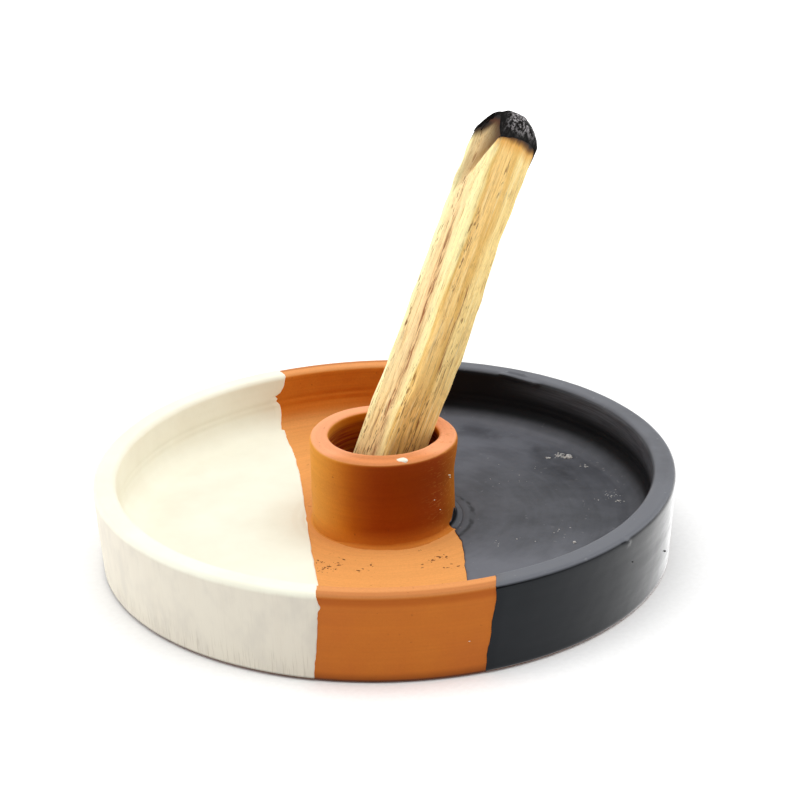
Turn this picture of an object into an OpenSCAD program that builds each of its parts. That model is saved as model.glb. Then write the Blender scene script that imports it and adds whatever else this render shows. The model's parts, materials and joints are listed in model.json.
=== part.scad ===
// Palo santo holder: a thrown clay dish with a stick socket luted to its floor, two brushed
// coats that leave a band of bare clay between them, and a stick of palo santo that stands
// loose in the socket and leans on its lip. Millimetres, +Z up, origin at the middle of the
// flat underside, the front along -Y.

/* [Dish] */
// Radius of the dish over its lip
rim_r = 60; // [54:0.5:66]
// How much the wall draws in from the lip to the underside
wall_taper = 1; // [0:0.1:2.5]
// Height of the lip above the table
dish_h = 18.5; // [16:0.5:24]
// Thickness of the floor
floor_t = 6.1; // [4:0.1:7]
// Width of the flat lip and thickness of the wall
lip_w = 4.4; // [3:0.1:6]
// Radius of the cove where the wall runs into the floor
cove_r = 5; // [2:0.1:7]
// Soft radius of the lip's two edges
lip_edge_r = 0.9; // [0.4:0.1:1.3]
// Soft radius of the edge round the underside
base_edge_r = 0.8; // [0.3:0.1:1.5]

/* [Socket cup] */
// Radius of the bore that takes the stick
bore_r = 11.5; // [10.6:0.1:14]
// Thickness of the cup's wall
cup_wall = 3.8; // [3:0.1:5]
// Height of the cup above the dish's floor
cup_h = 18.6; // [15:0.1:24]
// Soft radius of the cup's two lip edges
cup_edge_r = 1.3; // [0.5:0.1:1.4]

/* [Luting seam] */
// Height and width of the slip fillet round the cup's foot
seam_r = 1; // [0.5:0.1:2]
// Height and width of the fillet's blunt edges
seam_land = 0.2; // [0.1:0.05:0.4]

/* [Coats] */
// Thickness of the two brushed coats
coat_t = 0.3; // [0.15:0.05:0.4]
// Bare clay left between the coats and the table
coat_bare_h = 1.3; // [1:0.1:3]
// Where the cream coat's edge crosses the front lip
cream_front_x = -13; // [-20:0.1:-8]
// Where the cream coat's edge passes the cup
cream_mid_x = -16.8; // [-24:0.1:-14]
// Where the cream coat's edge crosses the back lip
cream_back_x = -23.6; // [-30:0.1:-16]
// Where the black coat's edge reaches the front of the floor
black_front_x = 15.6; // [10:0.1:22]
// Where the black coat's edge runs in under the cup
black_mid_x = 14.6; // [8:0.1:20]
// Where the black coat's edge crosses the back lip
black_back_x = 11; // [4:0.1:20]
// How far the black coat's edge steps aside over the front lip
black_lip_step = 4.2; // [0.5:0.1:8]

/* [Stick] */
// Thickness of the stick at its foot
stick_w = 14.5; // [11:0.1:15]
// Length of the stick with its burnt cap
stick_l = 86; // [60:1:110]
// How much each long face draws in towards the burnt end
stick_taper = 0.8; // [0.2:0.1:1.2]
// Compass direction that the stick leans towards, from +X
lean_dir = 30; // [0:1:359]
// Play between the stick's foot and the bore behind it
stick_play = 2.4; // [0.5:0.1:3]
// Gap kept between the stick and the clay that it rests on
rest_gap = 0.25; // [0.1:0.05:0.4]
// Length of the sliver that is torn out below the burnt cap
sliver_l = 19; // [12:1:30]
// Depth of the torn sliver at the burnt end
sliver_d = 1.3; // [0.5:0.1:2]

/* [Charred tip] */
// Radius of the burnt dome
dome_r = 6.8; // [5.5:0.1:7.5]
// Length of the burnt cap at the stick's sides
char_l = 6.3; // [4:0.1:9]
// Radius of the sound wood that bulges up under the char
core_r = 9; // [8:0.1:14]

/* [Hidden] */
$fn = 96;

// Spare length by which cuts and cutting planes reach past what they cut
spare = 5;
base_r = rim_r - wall_taper;
inner_r = rim_r - lip_w;
cup_r = bore_r + cup_wall;
seam_out_r = cup_r + seam_r + seam_land;
rim_y = sqrt(inner_r * inner_r - black_front_x * black_front_x);

// The stick's long faces as it was split: [direction round the stick, distance from its middle
// as a share of half its thickness]. Direction 0 points at the lip that the stick leans on.
split_faces = [
    [-167, 0.765], [-89, 0.635], [-23, 0.89], [35, 0.85], [80, 0.965], [128, 0.98], [179, 0.875]
];
// Corner that touches the lip, and face that has the torn sliver, counted from 0
lip_corner = 2;
torn_face = 0;

function face_dist(i) = stick_w / 2 * split_faces[i][1];

// Corner where long face i meets the next one round the stick
function corner(i) =
    let (j = (i + 1) % len(split_faces))
    let (a = split_faces[i][0], b = split_faces[j][0])
    let (x = face_dist(i) * sin(b) - face_dist(j) * sin(a))
    let (y = face_dist(j) * cos(a) - face_dist(i) * cos(b))
    [x, y] / sin(b - a);

section = [for (i = [0 : len(split_faces) - 1]) corner(i)];
reach_lip = section[lip_corner].x;
reach_back = -min([for (p = section) p.x]);

// The stick stands on the floor with its play behind it and leans until it meets the rounded
// lip. This is the gap still left at the lip when it leans by the given angle.
function lip_room(lean) =
    (2 * bore_r + cup_edge_r - stick_play - reach_back * cos(lean)) * cos(lean)
    - (cup_h - cup_edge_r - rest_gap - reach_lip * sin(lean)) * sin(lean)
    - reach_lip - cup_edge_r - rest_gap;

function find_lean(low, high, halvings) =
    let (mid = (low + high) / 2)
    halvings == 0 ? mid
    : lip_room(mid) > 0 ? find_lean(mid, high, halvings - 1)
    : find_lean(low, mid, halvings - 1);

// The search for the lean: from upright to its steepest, halved until it settles
steepest_lean = 60;
lean_halvings = 30;
stick_lean = find_lean(0, steepest_lean, lean_halvings);
foot_out = -(bore_r - stick_play) + reach_back * cos(stick_lean);
foot_z = floor_t + rest_gap + reach_lip * sin(stick_lean);
// Length of the stick below which it keeps its full thickness, so that it draws out freely
straight_l = cup_h / cos(stick_lean) + rest_gap;
taper_angle = atan(stick_taper / (stick_l - straight_l));
dome_z = stick_l - dome_r;
core_z = stick_l - char_l - sqrt(core_r * core_r - dome_r * dome_r);

function stick_axis() =
    [sin(stick_lean) * cos(lean_dir), sin(stick_lean) * sin(lean_dir), cos(stick_lean)];

echo(stick_lean = stick_lean, stick_axis = stick_axis());

// Half of the dish's cross-section, with every face in the open moved out by grow
module dish_profile(grow) {
    edge = lip_edge_r + grow;
    top = dish_h + grow;
    out = rim_r + grow;
    hollow = inner_r - grow;
    cove = cove_r - grow;
    deep = floor_t + grow;
    difference() {
        polygon([[0, 0], [base_r + grow, 0], [out, dish_h - lip_edge_r], [out, top], [0, top]]);
        // Bowl with its cove
        translate([0, deep + cove]) square([hollow, top]);
        translate([0, deep]) square([hollow - cove, cove + spare]);
        translate([hollow - cove, deep + cove]) circle(cove);
        // Soft outer and inner edge of the lip
        soft_corner([out - edge, top - edge], edge, 0);
        soft_corner([hollow + edge, top - edge], edge, 90);
    }
}

// What is cut off a square corner to leave it round: the corner that points out and up of the
// round's centre, turned by quarter turns for the others
module soft_corner(centre, radius, turn) {
    translate(centre) rotate(turn) difference() {
        square(radius + spare);
        circle(radius);
    }
}

module dish() {
    color("#b5672f") difference() {
        rotate_extrude() dish_profile(0);
        // Soft edge round the underside
        rotate_extrude() soft_corner([base_r - base_edge_r, base_edge_r], base_edge_r, -90);
    }
}

module socket_cup() {
    color("#a9581f") translate([0, 0, floor_t]) rotate_extrude() difference() {
        translate([bore_r, 0]) square([cup_wall, cup_h]);
        soft_corner([cup_r - cup_edge_r, cup_h - cup_edge_r], cup_edge_r, 0);
        soft_corner([bore_r + cup_edge_r, cup_h - cup_edge_r], cup_edge_r, 90);
    }
}

module luting_seam() {
    color("#9a4f1c") translate([0, 0, floor_t]) rotate_extrude() difference() {
        translate([cup_r, 0]) square(seam_r + seam_land);
        translate([seam_out_r, seam_r + seam_land]) circle(seam_r);
    }
}

// A skin over the dish, from just above the underside over the lip to the cup's seam
module coat_skin() {
    difference() {
        rotate_extrude() difference() {
            dish_profile(coat_t);
            dish_profile(0);
        }
        translate([0, 0, -spare]) cylinder(h = coat_bare_h + spare, r = rim_r + spare);
        cylinder(h = dish_h, r = seam_out_r);
    }
}

// Where a coat's edge lies at a distance along the dish, through its three given points
function coat_edge_x(front, mid, back, along) =
    let (t = along / rim_r)
    mid + (back - front) / 2 * t + ((front + back) / 2 - mid) * t * t;

// Plan of one side of the dish, up to a coat's freehand edge
module coat_plan(front, mid, back, side) {
    reach = rim_r + spare;
    steps = 10;
    edge = [
        for (i = [0 : steps])
            let (y = reach * (2 * i / steps - 1))
            [coat_edge_x(front, mid, back, y), y]
    ];
    polygon(concat(edge, [[side * reach, reach], [side * reach, -reach]]));
}

module cream_coat() {
    color("#ece5d3") intersection() {
        coat_skin();
        linear_extrude(dish_h + spare) coat_plan(cream_front_x, cream_mid_x, cream_back_x, -1);
    }
}

module black_coat() {
    color("#23262b") difference() {
        intersection() {
            coat_skin();
            linear_extrude(dish_h + spare) coat_plan(black_front_x, black_mid_x, black_back_x, 1);
        }
        // The edge steps aside over the front lip
        translate([0, -rim_r - spare, 0])
            cube([black_front_x + black_lip_step, rim_r + spare - rim_y, dish_h + spare]);
    }
}

// Puts what is drawn along +Z with its foot at the origin where the stick stands
module at_stick() {
    rotate([0, 0, lean_dir])
        translate([foot_out, 0, foot_z])
            rotate([0, stick_lean, 0])
                children();
}

// The split stick, tapered above the lip, with the torn sliver
module split_stick() {
    difference() {
        linear_extrude(stick_l) polygon(section);
        for (i = [0 : len(split_faces) - 1])
            rotate([0, 0, split_faces[i][0]])
                translate([face_dist(i), 0, straight_l])
                    rotate([0, -taper_angle, 0])
                        translate([0, -stick_w, -straight_l])
                            cube([spare, 2 * stick_w, stick_l + straight_l]);
        torn_sliver();
    }
}

// A wedge torn out of the face next to the ridge, deepest at the burnt end, whose edge runs
// from the face's far side up to the ridge
module torn_sliver() {
    face = split_faces[torn_face][0];
    from = stick_l - sliver_l;
    surface = face_dist(torn_face) - (from - straight_l) * tan(taper_angle);
    far = along_face(torn_face, section[len(section) - 1]);
    ridge = along_face(torn_face, section[torn_face]);
    tear_angle = taper_angle + atan(sliver_d / sliver_l);
    edge_angle = atan((ridge - far) / sliver_l);
    rotate([0, 0, face])
        translate([surface, far, from])
            rotate([0, -tear_angle, 0])
                rotate([-edge_angle, 0, 0])
                    translate([0, -stick_w, -spare])
                        cube([stick_w, stick_w, sliver_l + 2 * spare]);
}

// How far a point of the section lies along a long face from the face's middle
function along_face(i, point) =
    point.y * cos(split_faces[i][0]) - point.x * sin(split_faces[i][0]);

// What the fire took: all outside a dome whose shoulders widen into the sound stick
module burnt_away() {
    flare_z = dome_z - stick_w + dome_r;
    rotate_extrude() difference() {
        translate([0, flare_z]) square([2 * stick_w, stick_l]);
        translate([0, dome_z]) circle(dome_r);
        polygon([[0, dome_z], [dome_r, dome_z], [stick_w, flare_z], [0, flare_z]]);
    }
}

// The room that is turned to char, above the sound wood that bulges up under it
module char_room() {
    rotate_extrude() translate([0, core_z]) difference() {
        square([2 * stick_w, stick_l]);
        circle(core_r);
    }
}

module burnt_stick() {
    difference() {
        split_stick();
        burnt_away();
    }
}

module palo_santo_stick() {
    color("#dcb877") at_stick() difference() {
        burnt_stick();
        char_room();
    }
}

module charred_tip() {
    color("#2a2523") at_stick() intersection() {
        burnt_stick();
        char_room();
    }
}

dish();
socket_cup();
luting_seam();
cream_coat();
black_coat();
palo_santo_stick();
charred_tip();
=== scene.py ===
"""Palo santo holder: the looks of the clay dish, its two brushed coats, the stick socket and the
split stick with its burnt tip. Lengths in this script are millimetres unless they say otherwise."""
import json
import math

import bpy
import numpy as np
from mathutils import Matrix, Vector


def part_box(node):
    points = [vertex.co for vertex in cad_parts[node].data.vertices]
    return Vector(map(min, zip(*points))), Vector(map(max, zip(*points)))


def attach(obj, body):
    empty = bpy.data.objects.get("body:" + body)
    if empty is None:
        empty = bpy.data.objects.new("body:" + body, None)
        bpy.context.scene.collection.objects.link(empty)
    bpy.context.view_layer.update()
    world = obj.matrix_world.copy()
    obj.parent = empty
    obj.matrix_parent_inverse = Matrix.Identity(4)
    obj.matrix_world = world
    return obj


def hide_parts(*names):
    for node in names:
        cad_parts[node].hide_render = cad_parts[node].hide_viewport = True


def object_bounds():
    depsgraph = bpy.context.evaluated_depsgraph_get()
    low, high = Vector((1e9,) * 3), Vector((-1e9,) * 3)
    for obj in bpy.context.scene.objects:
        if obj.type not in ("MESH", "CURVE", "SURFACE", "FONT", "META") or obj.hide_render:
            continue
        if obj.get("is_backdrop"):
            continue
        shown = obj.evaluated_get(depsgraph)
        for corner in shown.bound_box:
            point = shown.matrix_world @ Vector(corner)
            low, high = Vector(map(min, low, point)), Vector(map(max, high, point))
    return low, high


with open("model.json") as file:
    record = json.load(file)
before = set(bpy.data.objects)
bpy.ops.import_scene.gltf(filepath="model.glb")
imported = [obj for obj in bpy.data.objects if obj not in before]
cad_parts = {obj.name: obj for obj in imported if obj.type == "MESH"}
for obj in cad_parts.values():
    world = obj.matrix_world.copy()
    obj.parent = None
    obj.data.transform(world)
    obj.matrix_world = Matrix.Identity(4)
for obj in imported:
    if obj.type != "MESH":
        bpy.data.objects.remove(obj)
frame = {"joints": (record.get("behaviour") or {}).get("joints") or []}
cad_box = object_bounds()

MM = 0.001


def node_box(node):
    """Lowest and highest corner of a node of the frame."""
    low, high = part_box(node)
    return np.array(low) / MM, np.array(high) / MM


# Sizes that the frame gives
RIM_R = node_box("dish")[1][0]
LIP_Z = node_box("dish")[1][2]
CUP_R = node_box("socket_cup")[1][0]
CUP_TOP = node_box("socket_cup")[1][2]
FLOOR_Z = node_box("socket_cup")[0][2]
STICK_AXIS = Vector(frame["joints"][0]["axis"]).normalized()

# The dish
LIP_W = 4.4
WALL_TAPER = 1.0
COVE_R = 5.0
LIP_EDGE_R = 0.9
BASE_EDGE_R = 0.8
BASE_R = RIM_R - WALL_TAPER
INNER_R = RIM_R - LIP_W

# The cup and the slip round its foot
BORE_R = 11.5
CUP_EDGE_R = 0.9
SEAM_W = 1.1
SEAM_H = 1.2
SEAM_R = CUP_R + SEAM_W
SEAM_HIDDEN = 0.3

# The coats
COAT_T = 0.2
COAT_BARE_H = 0.3
COAT_ROOT = -0.15
COAT_FILLED = 0.45

# The stick: [direction of a long face, distance from the middle, columns across it]
STICK_W = 14.5
STICK_L = 86.0
STICK_TAPER = 0.8
STICK_FOOT_OUT = -3.39
STICK_FOOT_Z = 9.395
SPLIT_FACES = [
    (-167, 0.765, 32),
    (-89, 0.635, 32),
    (-23, 0.89, 16),
    (35, 0.85, 18),
    (80, 0.965, 14),
    (128, 0.98, 14),
    (179, 0.875, 6),
]
STRAIGHT_L = 20.8
# Direction in the stick's section that lies to the right in the photograph
SECTION_RIGHT = np.array([0.811, -0.585])


# Noise and mesh helpers

def lattice(cell, seed):
    """A fixed number from -1 to 1 for each whole-numbered point of space."""
    mixed = cell[..., 0] * 374761393 + cell[..., 1] * 668265263 + cell[..., 2] * 974634777
    mixed = (mixed + seed * 1274126177) & 0xFFFFFFFF
    mixed = ((mixed ^ (mixed >> 13)) * 1274126177) & 0xFFFFFFFF
    return ((mixed ^ (mixed >> 16)) & 0xFFFF) / 32767.5 - 1


def noise3(points, size, seed):
    """Smooth noise from -1 to 1 at each point, with lumps of the given size."""
    scaled = np.asarray(points, dtype=float) / size
    cell = np.floor(scaled).astype(np.int64)
    part = scaled - cell
    part = part * part * (3 - 2 * part)
    total = np.zeros(scaled.shape[:-1])
    for corner in np.ndindex(2, 2, 2):
        weight = np.ones(scaled.shape[:-1])
        for axis, step in enumerate(corner):
            weight = weight * (part[..., axis] if step else 1 - part[..., axis])
        total += weight * lattice(cell + np.array(corner), seed)
    return total


def smooth_step(low, high, value):
    """0 below low, 1 above high and a smooth rise between."""
    t = np.clip((value - low) / (high - low), 0, 1)
    return t * t * (3 - 2 * t)


def hump(value, centre, width):
    """A smooth bump of height 1."""
    return np.exp(-((value - centre) / width) ** 2)


def run(start, end, step):
    """Points along a straight line, without its end."""
    start, end = np.array(start, float), np.array(end, float)
    count = max(1, round(np.linalg.norm(end - start) / step))
    return [start + (end - start) * i / count for i in range(count)]


def bend(centre, radius, start, end, count):
    """Points along an arc in degrees, without its end."""
    angles = [math.radians(start + (end - start) * i / count) for i in range(count)]
    return [np.array(centre) + radius * np.array([math.cos(a), math.sin(a)]) for a in angles]


def outward(profile):
    """The outward normal at each point of a profile that runs up the outside."""
    along = np.gradient(profile, axis=0)
    along /= np.linalg.norm(along, axis=1, keepdims=True)
    return np.stack([along[:, 1], -along[:, 0]], axis=1)


def turned(radius, height, theta):
    """Points at a radius, a height and an angle."""
    return np.stack([radius * np.cos(theta), radius * np.sin(theta), height + 0 * theta], axis=-1)


def axis_r(points):
    """How far points lie from the dish's axis."""
    return np.hypot(points[..., 0], points[..., 1])


def full_turn(rows, cols):
    """The angle of each column, for rows of points that go all the way round."""
    return np.tile(np.linspace(-math.pi, math.pi, cols, endpoint=False), (rows, 1))


def quads(index):
    """Quads of a grid of point numbers."""
    corners = [index[:-1, :-1], index[:-1, 1:], index[1:, 1:], index[1:, :-1]]
    return np.stack(corners, axis=-1).reshape(-1, 4).tolist()


def ring_index(rows, cols):
    """The numbers of a stack of rings of points, each led back to its own start."""
    index = np.arange(rows * cols).reshape(rows, cols)
    return np.hstack([index, index[:, :1]])


def capped(rows, cols):
    """Faces of a stack of rings that two more points close, the first ring's point first."""
    index = ring_index(rows, cols)
    faces = quads(index)
    for ring, tip in ((index[0, ::-1], rows * cols), (index[-1], rows * cols + 1)):
        faces += [[a, b, tip] for a, b in zip(ring.tolist(), ring[1:].tolist())]
    return faces


def shell(outer, inner):
    """A closed skin from two grids of points, the outer one seen from outside."""
    rows, cols = outer.shape[:2]
    index = np.arange(rows * cols).reshape(rows, cols)
    border = np.concatenate([index[0], index[1:, -1], index[-1, -2::-1], index[-2::-1, 0]])[::-1]
    faces = quads(index) + quads(index[::-1] + index.size)
    faces += quads(np.stack([border, border + index.size]))
    return np.concatenate([outer.reshape(-1, 3), inner.reshape(-1, 3)]), faces


def rolled(shape, thick, rises):
    """How high a coat stands: its thickness, and less in the first rows in from its edges."""
    lift = np.full(shape, thick)
    for n, rise in enumerate(rises):
        ends = [n, -1 - n]
        lift[ends, :] = np.minimum(lift[ends, :], rise)
        lift[:, ends] = np.minimum(lift[:, ends], rise)
    return lift


def add_object(name, data):
    """An object in the scene."""
    made = bpy.data.objects.new(name, data)
    bpy.context.scene.collection.objects.link(made)
    return made


def add_piece(name, points, faces, material, body, replaces=None):
    """A smooth mesh piece that rides on a body."""
    mesh = bpy.data.meshes.new(name)
    mesh.from_pydata((np.asarray(points).reshape(-1, 3) * MM).tolist(), [], faces)
    mesh.polygons.foreach_set("use_smooth", [True] * len(mesh.polygons))
    mesh.update()
    piece = add_object(name, mesh)
    mesh.materials.append(material)
    if body == "stick":
        piece.matrix_world = STICK_FRAME
    if replaces:
        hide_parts(replaces)
    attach(piece, body)
    return piece


# Materials

def srgb(red, green, blue):
    """A colour as it is seen on a screen, from 0 to 255, as the shaders take it."""
    def linear(value):
        value /= 255
        return value / 12.92 if value <= 0.04045 else ((value + 0.055) / 1.055) ** 2.4
    return (linear(red), linear(green), linear(blue), 1.0)


WHITE = srgb(255, 255, 255)


class Value:
    """A number that a tree of nodes works out at each point, with plain arithmetic."""

    def __init__(self, nodes, socket):
        self.nodes = nodes
        self.socket = socket

    def __add__(self, other):
        return self.nodes.math("ADD", self, other)

    def __sub__(self, other):
        return self.nodes.math("SUBTRACT", self, other)

    def __rsub__(self, other):
        return self.nodes.math("SUBTRACT", other, self)

    def __mul__(self, other):
        return self.nodes.math("MULTIPLY", self, other)

    def __abs__(self):
        return self.nodes.math("ABSOLUTE", self)

    def at_least(self, other):
        return self.nodes.math("MAXIMUM", self, other)

    def rise(self, low, high, to_low=0.0, to_high=1.0):
        """The value spread smoothly from low and high to a new range, and held outside it."""
        values = {"Value": self, "From Min": low, "From Max": high, "To Min": to_low, "To Max": to_high}
        node = self.nodes.add("MapRange", values, interpolation_type="SMOOTHSTEP")
        return Value(self.nodes, node.outputs["Result"])


class Nodes:
    """A tree of shader nodes, with short calls to add and join them."""

    def __init__(self, tree):
        self.tree = tree

    def put(self, socket, value):
        if isinstance(value, Value):
            value = value.socket
        if isinstance(value, bpy.types.NodeSocket):
            self.tree.links.new(value, socket)
        else:
            socket.default_value = value

    def add(self, kind, inputs=(), **settings):
        node = self.tree.nodes.new("ShaderNode" + kind)
        for key, value in settings.items():
            setattr(node, key, value)
        for key, value in dict(inputs).items():
            self.put(node.inputs[key], value)
        return node

    def math(self, operation, *values):
        return Value(self, self.add("Math", enumerate(values), operation=operation).outputs[0])


class Shader(Nodes):
    """A material: its place in millimetres as x, y and z, and the colour that its surface has so far."""

    def __init__(self, name):
        self.material = bpy.data.materials.new(name)
        self.material.use_nodes = True
        super().__init__(self.material.node_tree)
        self.surface = self.tree.nodes["Principled BSDF"]
        self.colour = WHITE
        self.place = self.add("TexCoord").outputs["Object"]
        split = self.add("SeparateXYZ", {0: self.scaled(1 / MM, 1 / MM, 1 / MM)}).outputs
        self.x, self.y, self.z = [Value(self, socket) for socket in split]

    def set(self, **values):
        """Sets the surface's own sockets, named with _ for a space."""
        for key, value in values.items():
            self.put(self.surface.inputs[key.replace("_", " ")], value)

    def scaled(self, *scale):
        """The place in metres, multiplied along each axis."""
        return self.add("VectorMath", {0: self.place, 1: scale}, operation="MULTIPLY").outputs[0]

    def noise(self, scale, detail, rough):
        """Noise with so many lumps to a metre, the same all ways or along each axis."""
        vector = self.place
        if isinstance(scale, tuple):
            vector, scale = self.scaled(*scale), 1.0
        values = {"Vector": vector, "Scale": scale, "Detail": detail, "Roughness": rough}
        return Value(self, self.add("TexNoise", values).outputs["Fac"])

    def axis_gap(self):
        """How far a point lies from the dish's axis."""
        flat = self.scaled(1 / MM, 1 / MM, 0.0)
        return Value(self, self.add("VectorMath", {0: flat}, operation="LENGTH").outputs["Value"])

    def turning(self, count, across):
        """Noise whose streaks run round the axis: how many there are on a turn, and how far apart."""
        heading = self.add("VectorMath", {0: self.scaled(1.0, 1.0, 0.0)}, operation="NORMALIZE").outputs[0]
        lift = self.add("CombineXYZ", {2: self.z * (1 / across)}).outputs[0]
        vector = {0: heading, 1: (count, count, 0.0), 2: lift}
        vector = self.add("VectorMath", vector, operation="MULTIPLY_ADD").outputs[0]
        values = {"Vector": vector, "W": self.axis_gap() * (1 / across), "Scale": 1.0}
        values.update({"Detail": 3.0, "Roughness": 0.55})
        return Value(self, self.add("TexNoise", values, noise_dimensions="4D").outputs["Fac"])

    def section_place(self, direction, origin=(0.0, 0.0)):
        """How far a point lies along a direction in the section, from an origin."""
        return self.x * direction[0] + self.y * direction[1] - direction @ origin

    def facing_up(self, low, high):
        """1 on level surfaces and 0 on upright ones."""
        normal = self.add("NewGeometry").outputs["Normal"]
        return Value(self, self.add("SeparateXYZ", {0: normal}).outputs[2]).rise(low, high)

    def ramp(self, factor, *stops):
        """Starts the surface's colour: [place, colour] stops along a value."""
        node = self.add("ValToRGB", {"Fac": factor})
        elements = node.color_ramp.elements
        while len(elements) < len(stops):
            elements.new(0.5)
        for element, (position, colour) in zip(elements, stops):
            element.position = position
            element.color = colour
        self.colour = node.outputs["Color"]

    def mix(self, share, first, second, blend="MIX"):
        node = self.add("Mix", data_type="RGBA", blend_type=blend)
        for socket, value in ((0, share), (6, first), (7, second)):
            self.put(node.inputs[socket], value)
        return node.outputs[2]

    def tint(self, share, colour):
        """Mixes a share of another colour into the surface's."""
        self.colour = self.mix(share, self.colour, colour)

    def tone(self, light):
        """Makes the surface's colour lighter or darker by a factor."""
        grey = self.add("CombineColor", {0: light, 1: light, 2: light}).outputs[0]
        self.colour = self.mix(1.0, self.colour, grey, "MULTIPLY")

    def complete(self, rough, specular, bumps, strength, distance):
        """Sets the surface with its colour so far and its bumps, and gives the material."""
        bumps = {"Height": bumps, "Strength": strength, "Distance": distance * MM}
        self.set(Base_Color=self.colour, Roughness=rough, Specular_IOR_Level=specular)
        self.set(Normal=self.add("Bump", bumps).outputs["Normal"])
        return self.material


def clay_material(name, deep, warm, pale, lip):
    """Fired bare clay: softly patchy, paler on level faces as painted light, with faint turning marks and
    pores.
    """
    shader = Shader(name)
    across, depth, height = shader.x, shader.y, shader.z
    gap = shader.axis_gap()
    patches = shader.noise(60.0, 4.0, 0.6)
    grain = shader.noise(2400.0, 3.0, 0.6)
    lines = shader.turning(0.9, 0.5)
    bands = shader.turning(0.5, 2.6)
    level = shader.facing_up(0.15, 0.92)
    shader.ramp(patches, (0.3, deep), (0.72, warm))
    # Painted light: level faces are made paler
    shader.tint(level, pale)
    # The cup's wall, with painted shade in front and painted light at both sides
    on_cup = gap.rise(CUP_R + 0.6, CUP_R + 0.3)
    front_shade = (across * -0.55 + depth).rise(-6.0, -15.5, 0.0, 0.76)
    shader.tint(on_cup * front_shade * (1 - level), srgb(134, 36, 0))
    shader.tint(on_cup * across.rise(-6.0, -15.5, 0.0, 0.75), srgb(220, 152, 62))
    shader.tint(on_cup * across.rise(10.0, 15.5, 0.0, 0.45), srgb(190, 120, 30))
    # The bore, with painted shade that is darkest in its turning marks
    bore = gap.rise(BORE_R + 0.6, BORE_R + 0.2) * height.rise(CUP_TOP - 0.6, CUP_TOP - 2.0)
    shader.tint(bore * lines.rise(0.35, 0.65, 0.95, 0.4), srgb(122, 20, 4))
    # The lips, the cup's lip plainer in front, and painted light from the floor on the cup's foot
    on_lip = shader.facing_up(0.45, 0.92) * height.rise(LIP_Z - 1.5, LIP_Z - 0.3)
    shader.tint(on_lip, lip)
    shader.tint(on_cup * on_lip * depth.rise(-8.0, -12.5, 0.0, 0.75), srgb(202, 124, 66))
    glow = height.rise(FLOOR_Z + 4.4, FLOOR_Z + 0.7, 0.0, 0.6) * depth.rise(-2.0, -10.0)
    shader.tint(on_cup * glow, srgb(206, 122, 40))
    # Turning marks, grain and pores all over
    light = lines.rise(0.25, 0.75, 0.96, 1.03) + bands.rise(0.3, 0.7, -0.04, 0.03)
    shader.tone(light + grain.rise(0.3, 0.7, -0.035, 0.035))
    pores = shader.noise(1100.0, 1.0, 0.4).rise(0.74, 0.8)
    shader.tint(pores * 0.4, srgb(110, 52, 18))
    # The dish's outside, darker as painted shade, scuffs on the right of the cup, and the shade under the
    # lip and at the foot
    outside = gap.rise(RIM_R - 2.2, RIM_R - 1.6)
    shader.tint(outside * 0.5, srgb(160, 90, 40))
    scuffs = shader.noise((700.0, 700.0, 3000.0), 3.0, 0.65).rise(0.56, 0.64)
    shader.tint(on_cup * scuffs * across.rise(6.0, 13.5) * 0.4, srgb(204, 132, 64))
    under_lip = height.rise(LIP_Z - 2.6, LIP_Z - 1.5) * height.rise(LIP_Z - 0.3, LIP_Z - 0.9)
    shader.tint(outside * under_lip * 0.5, srgb(150, 68, 14))
    shader.tint(outside * height.rise(2.6, 0.6, 0.0, 0.6), srgb(108, 48, 14))
    shader.tint(height.rise(1.0, 0.5) * 0.85, srgb(58, 34, 22))
    bumps = lines * 0.35 + grain * 0.5 - pores * 0.6
    return shader.complete(patches.rise(0.3, 0.7, 0.66, 0.82), 0.12, bumps, 0.3, 0.08)


def cream_material():
    """A matte cream coat, brushed thin in short strokes low on the walls."""
    shader = Shader("cream_coat")
    height = shader.z
    gap = shader.axis_gap()
    strokes = shader.turning(260.0, 5.0)
    broad = shader.turning(16.0, 30.0)
    clouds = shader.noise(70.0, 4.0, 0.6)
    grain = shader.noise(1500.0, 2.0, 0.5)
    upright = (1 - shader.facing_up(0.2, 0.9)) * gap.rise(RIM_R - 3.0, RIM_R - 2.0)
    shader.ramp(clouds, (0.3, srgb(230, 228, 210)), (0.7, srgb(237, 237, 221)))
    shader.tint(upright * broad.rise(0.62, 0.3, 0.0, 0.35), srgb(214, 206, 188))
    outside = gap.rise(RIM_R - 2.2, RIM_R - 1.4) * height.rise(LIP_Z - 0.3, LIP_Z - 1.1)
    # Painted shade: the outside of the wall is made greyer
    shader.tint(outside * 0.8, srgb(206, 198, 184))
    blots = shader.noise((190.0, 190.0, 110.0), 3.0, 0.55).rise(0.42, 0.72, 0.0, 0.4)
    shader.tint(outside * blots, srgb(188, 182, 172))
    thin = strokes.rise(0.5, 0.28) * height.rise(7.5, 1.5, 0.08, 0.7)
    shader.tint(upright * thin, srgb(170, 160, 142))
    # Painted shade at the foot of the coat
    shader.tint(height.rise(1.1, 0.5, 0.0, 0.9), srgb(70, 62, 54))
    bumps = upright * strokes * 0.4 + grain * 0.35
    return shader.complete(clouds.rise(0.3, 0.7, 0.62, 0.76), 0.3, bumps, 0.3, 0.08)


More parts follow.
